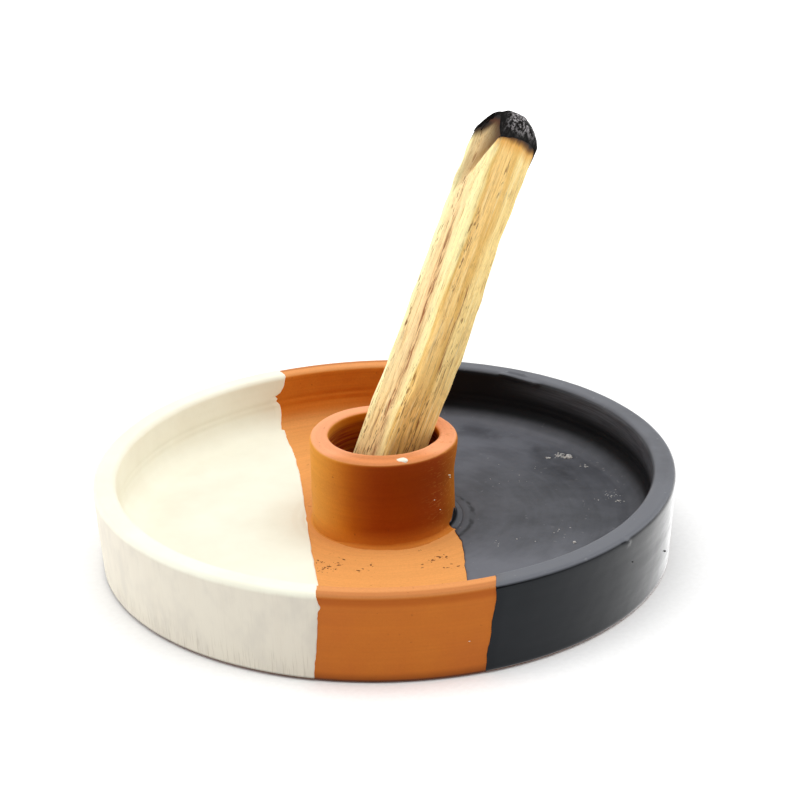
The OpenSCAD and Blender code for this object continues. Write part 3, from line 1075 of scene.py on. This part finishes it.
def stick_ring(height):
    """The stick's outline at a height, with the sliver that is torn out of its first face."""
    corners = corner_points(height)
    ring = []
    for i, (angle, _, count) in enumerate(SPLIT_FACES):
        start, end = corners[i - 1], corners[i]
        shares = np.arange(count) / count
        depth = np.zeros(count)
        if i == 0:
            width = np.linalg.norm(end - start)
            up = max(0.0, height - TEAR_FROM)
            reach = TEAR_START + TEAR_SLOPE * (height - TEAR_PLACE) - FACE_LEFT
            edge = min(0.97, max(TEAR_LEAST, reach) / width)
            left = np.linspace(0, edge - TEAR_STEP, TEAR_COLUMN)
            right = np.linspace(edge + TEAR_STEP, 1, count - TEAR_COLUMN + 1)[:-1]
            shares = np.concatenate([left, right])
            depth[:TEAR_COLUMN] = TEAR_DEPTH * up / (STICK_L - TEAR_FROM)
            depth[:TEAR_COLUMN] *= smooth_step(-0.02, 0.1, left)
        inward = -np.array([math.cos(math.radians(angle)), math.sin(math.radians(angle))])
        ring += list(start + (end - start) * shares[:, None] + inward * depth[:, None])
    ring = np.array(ring)
    for _ in range(2):
        ring = 0.5 * ring + 0.25 * (np.roll(ring, 1, axis=0) + np.roll(ring, -1, axis=0))
    return ring


def burnt(ring, height):
    """The outline drawn in to the dome that the fire left, which is fuller on its left."""
    if height <= DOME_FROM:
        return ring
    t = min(1.0, (height - DOME_FROM) / (DOME_TOP - DOME_FROM))
    arm = ring - DOME_MIDDLE
    length = np.linalg.norm(arm, axis=1)
    power = DOME_POWER + DOME_FULLER * smooth_step(0.3, -0.6, arm @ SECTION_RIGHT / length)
    radius = DOME_R * (1 - t ** power) ** (1 / power)
    return DOME_MIDDLE + arm * np.minimum(1, radius / length)[:, None]


def bow(height):
    """How far the stick bends to the right, which is nothing inside the cup."""
    wave = math.sin(2 * math.pi * (height - STRAIGHT_L) / BOW_LENGTH)
    return BOW * wave * float(smooth_step(STRAIGHT_L, STRAIGHT_L + 6, height))


def stick_surface(heights):
    """Rings of points up the stick, and the way out of its side at each."""
    rings = []
    for height in heights:
        ring = burnt(stick_ring(height), height) + bow(height) * SECTION_RIGHT
        rings.append(np.concatenate([ring, np.full((len(ring), 1), height)], axis=1))
    rings = np.array(rings)
    around = np.roll(rings, -1, axis=1) - np.roll(rings, 1, axis=1)
    out = np.stack([around[..., 1], -around[..., 0], 0 * around[..., 0]], axis=-1)
    out /= np.maximum(1e-6, np.linalg.norm(out, axis=-1, keepdims=True))
    return rings, out


# How far fibres may stand out where the stick fits the socket
FIT_STAND = 0.05


def wood_relief(heights):
    """Fibres and splits along the stick's columns, kept inside the socket's fit at its foot."""
    ring = stick_ring(STICK_L / 2)
    steps = np.linalg.norm(np.roll(ring, -1, axis=0) - ring, axis=1)
    turn = 2 * math.pi * np.cumsum(steps) / steps.sum()
    mean_r = steps.sum() / (2 * math.pi)
    points = turned(mean_r, heights[:, None], turn[None, :] + 0 * heights[:, None])
    relief = 0.1 * noise3(points, (1.7, 1.7, 30.0), 31) + 0.08 * noise3(points, (0.7, 0.7, 16.0), 32)
    relief -= 0.2 * smooth_step(0.3, 0.8, noise3(points, (0.6, 0.6, 9.0), 33))
    tight = smooth_step(STRAIGHT_L + 3, STRAIGHT_L, points[..., 2])
    return np.where(relief > FIT_STAND, relief * (1 - tight) + FIT_STAND * tight, relief)


# Height at which the char starts, by column: high on the torn face, level across the second face,
# and far down the edge on the right
CHAR_EDGE = [
    (0, 81.0), (1.5, 82.8), (3, 84.2), (5, 85.0), (6, 84.6), (6.7, 83.6), (8.2, 82.2), (10.5, 81.2),
    (13, 80.4), (14, 80.5), (32, 81.0), (40, 81.4), (48, 81.7), (56, 81.5), (62, 80.8), (64.5, 79.0),
    (66, 76.8), (68, 78.5), (72, 80.5), (118, 80.0), (126, 80.0), (132, 80.8),
]
CHAR_LEVEL = 81.6
# How far the char stands out at its edge and reaches in, and how far the wood is drawn in below it
CHAR_SKIN = 0.1
CHAR_ROOT = -0.9
CHAR_SEAT = 0.55
# How far below the top the point lies that the char stands away from
CHAR_HEART = 6.0
# How much the stick's last ring is worn in at its foot
FOOT_WORN = 0.975
STICK_ROWS = 200
DOME_ROWS = 34
CHAR_ROWS = 40
CHAR_LEVELS = 160


def char_edge():
    """Height at which the crumbling char starts on each column."""
    ring = stick_ring(CHAR_LEVEL)
    points = np.concatenate([ring, np.full((len(ring), 1), CHAR_LEVEL)], axis=1)
    columns, heights = zip(*CHAR_EDGE)
    edge = np.interp(np.arange(len(ring)), columns, heights)
    return edge + 0.15 * noise3(points, 2.4, 41) + 0.1 * noise3(points, 0.8, 42)


def make_stick():
    """The split stick, drawn in where the char lies on it."""
    straight = np.linspace(0, DOME_FROM, STICK_ROWS, endpoint=False)
    turn = np.linspace(0, 1, DOME_ROWS, endpoint=False) * math.pi / 2
    heights = np.concatenate([straight, DOME_FROM + (DOME_TOP - DOME_FROM) * np.sin(turn)])
    points, out = stick_surface(heights)
    under_char = smooth_step(0.2, 1.0, heights[:, None] - char_edge()[None, :])[..., None]
    points = points + out * wood_relief(heights)[..., None] * (1 - under_char)
    points -= under_char * CHAR_SEAT * (0.12 * points * [1, 1, 0] + [0, 0, 1])
    points[0, :, :2] *= FOOT_WORN
    top = DOME_TOP - 2 * CHAR_SEAT
    points[..., 2] = np.minimum(points[..., 2], top)
    faces = capped(*points.shape[:2])
    points = np.concatenate([points.reshape(-1, 3), [[0, 0, 0], [0, 0, top]]])
    return add_piece("wood_stick", points, faces, WOOD, "stick", "palo_santo_stick")


def make_char():
    """The burnt cap: a crumbling skin over the dome."""
    start = char_edge()
    count, cols = CHAR_ROWS, len(start)
    turn = np.sin(np.linspace(0, 0.985, count) * math.pi / 2)
    heights = start + (DOME_TOP - start) * turn[:, None]
    levels = np.linspace(heights.min() - 0.5, DOME_TOP - 0.02, CHAR_LEVELS)
    table = stick_surface(levels)[0]
    outer = np.zeros((count, cols, 3))
    for j in range(cols):
        for k in range(3):
            outer[:, j, k] = np.interp(heights[:, j], levels, table[:, j, k])
    out = outer - [0, 0, DOME_TOP - CHAR_HEART]
    out /= np.linalg.norm(out, axis=-1, keepdims=True)
    crumble = 0.26 * noise3(outer, 1.7, 43) + 0.14 * noise3(outer, 0.7, 44)
    settled = smooth_step(0, 5, np.arange(count))[:, None]
    skin = CHAR_SKIN * (1 - settled) + crumble * (0.3 + 0.7 * settled)
    inner = outer + out * CHAR_ROOT
    outer = outer + out * skin[..., None]
    tips = [inner[-1].mean(axis=0), outer[-1].mean(axis=0) + [0, 0, 0.05]]
    points = np.concatenate([inner[::-1].reshape(-1, 3), outer.reshape(-1, 3), tips])
    faces = capped(2 * count, cols)
    return add_piece("char_cap", points, faces, CHAR, "stick", "charred_tip")


# Crumbs and flakes

CHANCE = np.random.default_rng(7)
CRUMB_RAGGED = 0.28
# How long, wide and high lumps are for their size
ASH_SHAPE = (1.0, 0.8, 0.5)
SPECK_SHAPE = (1.9, 0.9, 0.3)
MARK_SHAPE = (1.0, 0.8, 0.4)


def crumb(centre, size, stretch, seed):
    """Points and faces of one small ragged lump."""
    rows, cols = 6, 10
    tilt = np.repeat(math.pi * (np.arange(rows) + 0.5) / rows - math.pi / 2, cols)
    turn = np.tile(2 * math.pi * np.arange(cols) / cols, rows)
    points = turned(np.cos(tilt), np.sin(tilt), turn)
    points = np.concatenate([points, [(0, 0, -1), (0, 0, 1)]])
    points *= 1 + CRUMB_RAGGED * noise3(points + seed * 7.3, 0.8, seed)[:, None]
    points = points * np.array(stretch) * size
    spin = CHANCE.random() * math.pi * 2
    cos, sin = math.cos(spin), math.sin(spin)
    points[:, :2] = points[:, :2] @ np.array([[cos, sin], [-sin, cos]])
    return points + centre, capped(rows, cols)


def make_crumbs(name, spots, material, body):
    """Many lumps in one piece: each spot is [centre, size, stretch]."""
    points, faces = [], []
    for seed, (centre, size, stretch) in enumerate(spots):
        more, made = crumb(np.array(centre, float), size, stretch, seed + 50)
        first = sum(len(p) for p in points)
        points.append(more)
        faces += [[first + i for i in face] for face in made]
    return add_piece(name, np.concatenate(points), faces, material, body)


def fallen(falls):
    """Where each crumb of some falls lies, a number from 0 to 1, and what else its fall says."""
    for x, y, spread, count, *more in falls:
        for _ in range(count):
            dx, dy = CHANCE.normal(0, spread / 2, 2)
            yield x + dx, y + dy, CHANCE.random(), *more


# Ash on the black floor: [x, y, how far it spreads, how many flakes, largest]
ASH_FALLS = [
    (39.6, 28.2, 1.5, 26, 0.38),
    (41.4, 27.2, 0.8, 12, 0.8),
    (36.8, 27.4, 0.5, 6, 0.52),
    (28.7, 44.3, 0.15, 3, 0.4),
    (48.4, 7.0, 2.6, 24, 0.22),
    (52.6, 6.0, 2.4, 20, 0.26),
    (49.8, 3.4, 0.7, 6, 0.32),
    (53.6, 1.6, 0.8, 6, 0.34),
    (44.4, 22.4, 1.4, 8, 0.28),
    (43.7, 2.2, 3.0, 6, 0.22),
    (35.8, -10.0, 3.0, 7, 0.24),
    (30.0, 20.0, 8.0, 14, 0.16),
    (24.0, -14.0, 5.0, 8, 0.18),
    (38.3, -15.4, 0.1, 1, 0.5),
]


def ash_spots():
    """Flat flakes that lie on the black coat."""
    spots = []
    for x, y, chance, largest in fallen(ASH_FALLS):
        size = largest * (0.35 + 0.65 * chance)
        spots.append(((x, y, FLOOR_Z + COAT_T + 0.2 * size), size, ASH_SHAPE))
    return spots


# Dark crumbs on the bare clay in front of the cup: [x, y, how far they spread, how many]
SPECK_FALLS = [
    (-12.2, -23.8, 2.0, 26),
    (-9.6, -21.6, 1.6, 12),
    (-13.6, -20.8, 1.0, 6),
    (-5.4, -25.2, 1.0, 6),
    (-3.0, -22.6, 0.9, 6),
    (6.6, -16.6, 0.5, 4),
    (11.4, -20.6, 2.2, 26),
    (9.0, -21.0, 1.2, 6),
    (12.2, -24.8, 1.6, 16),
    (6.4, -24.4, 1.2, 6),
    (-45.0, -9.5, 0.2, 1),
]


def speck_spots():
    """Long thin specks, most of them small, that lie on the clay."""
    spots = []
    for x, y, chance in fallen(SPECK_FALLS):
        spots.append(((x, y, FLOOR_Z), 0.08 + 0.22 * chance ** 3, SPECK_SHAPE))
    return spots


# Pale flecks of paint: [radius, angle in degrees, height, size]
FLECKS = [
    (13.75, -74.4, 24.55, 1.3),
    (CUP_R - 0.1, -29, 18.5, 0.3),
    (CUP_R - 0.1, -28, 17.9, 0.2),
    (CUP_R, -43, 12.2, 0.16),
    (CUP_R, -49, 14.9, 0.14),
    (59.35, -75.6, 7.6, 0.2),
]

# Pits and nibs in the black coat outside: [radius, angle in degrees, height, size]
NIBS = [
    (59.75, -37.8, 12.4, 0.3),
    (59.45, -20.1, 6.4, 0.42),
]


def round_spots(marks):
    """Flat marks at a radius, an angle and a height."""
    spots = []
    for radius, angle, height, size in marks:
        turn = math.radians(angle)
        centre = (radius * math.cos(turn), radius * math.sin(turn), height)
        spots.append((centre, size, MARK_SHAPE))
    return spots


# The studio

CAMERA_AT = (0.0, -380.66, 187.12)
CAMERA_AIM = (3.58, 0.0, 32.36)
CAMERA_ROLL = -1.33
CAMERA_LENS = 90.0
SENSOR_W = 36.0


def make_camera():
    """The camera, where the outlines in the photograph put it."""
    data = bpy.data.cameras.new("camera")
    data.lens = CAMERA_LENS
    data.sensor_width = SENSOR_W
    camera = add_object("camera", data)
    aim = (Vector(CAMERA_AIM) - Vector(CAMERA_AT)).to_track_quat("-Z", "Y").to_matrix().to_4x4()
    roll = Matrix.Rotation(math.radians(CAMERA_ROLL), 4, "Z")
    camera.matrix_world = Matrix.Translation(Vector(CAMERA_AT) * MM) @ aim @ roll
    bpy.context.scene.camera = camera


# The tent's panels: [direction, where along it the panel starts and is full, level there and full].
# The first is the tent's own level, which falls to almost nothing in front.
TENT_PANELS = [
    ((0.0, -0.98, 0.2), (-0.3, 0.5), (0.65, 0.0)),
    ((0.1, 0.92, 0.38), (0.8, 0.97), (0.0, 0.3)),
    ((-0.96, 0.0, 0.28), (0.6, 0.97), (0.0, 1.9)),
    ((0.96, 0.1, 0.26), (0.6, 0.97), (0.0, 1.7)),
]
TENT_COLOUR = (1.0, 0.995, 0.985, 1.0)


def make_world():
    """A soft white tent, dark in front, that the camera sees as plain white."""
    world = bpy.data.worlds.new("tent")
    bpy.context.scene.world = world
    world.use_nodes = True
    world.node_tree.nodes.clear()
    nodes = Nodes(world.node_tree)
    way = nodes.add("TexCoord").outputs["Generated"]
    total = None
    for direction, span, levels in TENT_PANELS:
        lean = nodes.add("VectorMath", {0: way, 1: direction}, operation="DOT_PRODUCT")
        level = Value(nodes, lean.outputs["Value"]).rise(*span, *levels)
        total = total + level if total else level
    tent = nodes.add("Background", {"Color": TENT_COLOUR, "Strength": total}).outputs[0]
    white = nodes.add("Background", {"Color": WHITE, "Strength": 1.0}).outputs[0]
    seen = nodes.add("LightPath").outputs["Is Camera Ray"]
    choose = nodes.add("MixShader", {0: seen, 1: tent, 2: white})
    nodes.add("OutputWorld", {0: choose.outputs[0]})


# The table top: half its width in metres, its glow in dull and in glossy light, and its glow to the
# camera beside the part, which rises to full white from the near to the far distance
FLOOR_HALF = 2.5
FLOOR_GLOW = 0.25
FLOOR_SHEEN = 1.65
FLOOR_SEEN = 0.04
FLOOR_NEAR = 100.0
FLOOR_FAR = 600.0


def make_floor():
    """A white table top that keeps the shadow and is otherwise white to the camera."""
    mesh = bpy.data.meshes.new("table_top")
    corners = [(-1, -1), (1, -1), (1, 1), (-1, 1)]
    mesh.from_pydata([(x * FLOOR_HALF, y * FLOOR_HALF, 0) for x, y in corners], [], [[0, 1, 2, 3]])
    floor = add_object("table_top", mesh)
    shader = Shader("table_top")
    shader.tone(shader.noise(900.0, 2.0, 0.5).rise(0.3, 0.7, 0.92, 0.95))
    shader.set(Base_Color=shader.colour, Roughness=0.9, Specular_IOR_Level=0.0)
    rays = shader.add("LightPath").outputs
    glow = Value(shader, rays["Is Glossy Ray"]).rise(0.0, 1.0, FLOOR_GLOW, FLOOR_SHEEN)
    seen = shader.axis_gap().rise(FLOOR_NEAR, FLOOR_FAR, FLOOR_SEEN, 1.0)
    glow = Value(shader, rays["Is Camera Ray"]).rise(0.0, 1.0, glow, seen)
    shader.set(Emission_Color=WHITE, Emission_Strength=glow)
    mesh.materials.append(shader.material)
    floor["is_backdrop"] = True


# The soft box overhead, in metres and watts
SOFT_BOX_AT = (0.12, -0.16, 1.1)
SOFT_BOX_W = 1.4
SOFT_BOX_POWER = 10.6


def make_soft_box():
    """A round soft box that shines on the part."""
    data = bpy.data.lights.new("soft_box", "AREA")
    data.shape = "DISK"
    data.size = SOFT_BOX_W
    data.energy = SOFT_BOX_POWER
    lamp = add_object("soft_box", data)
    at = Vector(SOFT_BOX_AT)
    lamp.matrix_world = Matrix.Translation(at) @ (-at).to_track_quat("-Z", "Y").to_matrix().to_4x4()


make_dish()
make_cup()
make_seam()
make_coat("cream_paint", CREAM_EDGE, True, SEAM_R - 0.3, no_lumps, CREAM, "cream_coat", 60)
make_coat("black_paint", BLACK_EDGE, False, SEAM_R - 1.0, paint_lumps, BLACK, "black_coat", 70)
make_foot_paint()
make_stick()
make_char()
make_crumbs("floor_ash", ash_spots(), ASH, "holder")
make_crumbs("clay_specks", speck_spots(), CRUMB, "holder")
make_crumbs("paint_flecks", round_spots(FLECKS), CREAM, "holder")
make_crumbs("paint_nibs", round_spots(NIBS), CHAR, "holder")

bpy.context.scene.view_settings.view_transform = "Standard"
make_camera()
make_world()
make_floor()
make_soft_box()

visual_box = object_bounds()
boxes = {"cad": cad_box, "visual": visual_box}
{key: [[float(v) for v in corner] for corner in box] for key, box in boxes.items()}
